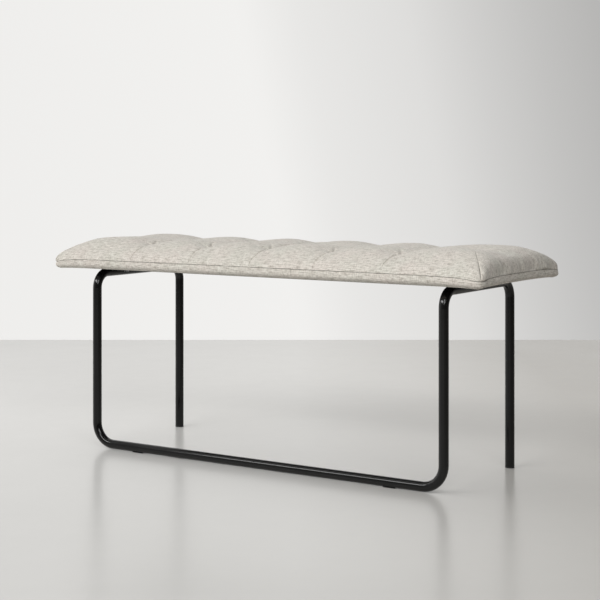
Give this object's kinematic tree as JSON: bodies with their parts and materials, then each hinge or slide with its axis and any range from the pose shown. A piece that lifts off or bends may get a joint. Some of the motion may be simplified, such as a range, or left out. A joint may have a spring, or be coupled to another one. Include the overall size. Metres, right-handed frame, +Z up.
{
  "type": "entryway bench",
  "caption": "Long low bench: a tufted woven seat cushion on one continuous bent black steel tube, with a floor rail at the front and straight rear posts.",
  "frame": {"origin": "on the floor, under the middle of the seat", "axes": "+X along the bench to its right-hand end, -Y towards the front with the floor rail, +Z up"},
  "size_m": [1.082, 0.384, 0.47],
  "materials": {
    "black_powder_coat": "satin",
    "zinc_steel": "satin",
    "black_plastic": "matte",
    "plywood": "matte",
    "foam": "matte",
    "polyester_wadding": "matte",
    "linen_weave": "matte",
    "black_nonwoven": "matte",
    "waxed_twine": "matte"
  },
  "bodies": {
    "root": {"frame_tube": "black_powder_coat", "front_left_tab": "black_powder_coat", "front_right_tab": "black_powder_coat", "rear_left_tab": "black_powder_coat", "rear_right_tab": "black_powder_coat", "tab_welds": "black_powder_coat", "seat_bolts": "zinc_steel", "flat_washers": "zinc_steel", "spring_washers": "zinc_steel", "tee_nuts": "zinc_steel", "cover_staples": "zinc_steel", "rear_left_foot_cap": "black_plastic", "rear_right_foot_cap": "black_plastic", "front_left_glide": "black_plastic", "front_right_glide": "black_plastic", "tuft_anchors": "black_plastic", "seat_board": "plywood", "foam_pad": "foam", "batting": "polyester_wadding", "seat_top_cover": "linen_weave", "seat_border_band": "linen_weave", "dust_cover": "black_nonwoven", "tuft_ties": "waxed_twine"}
  },
  "joints": []
}
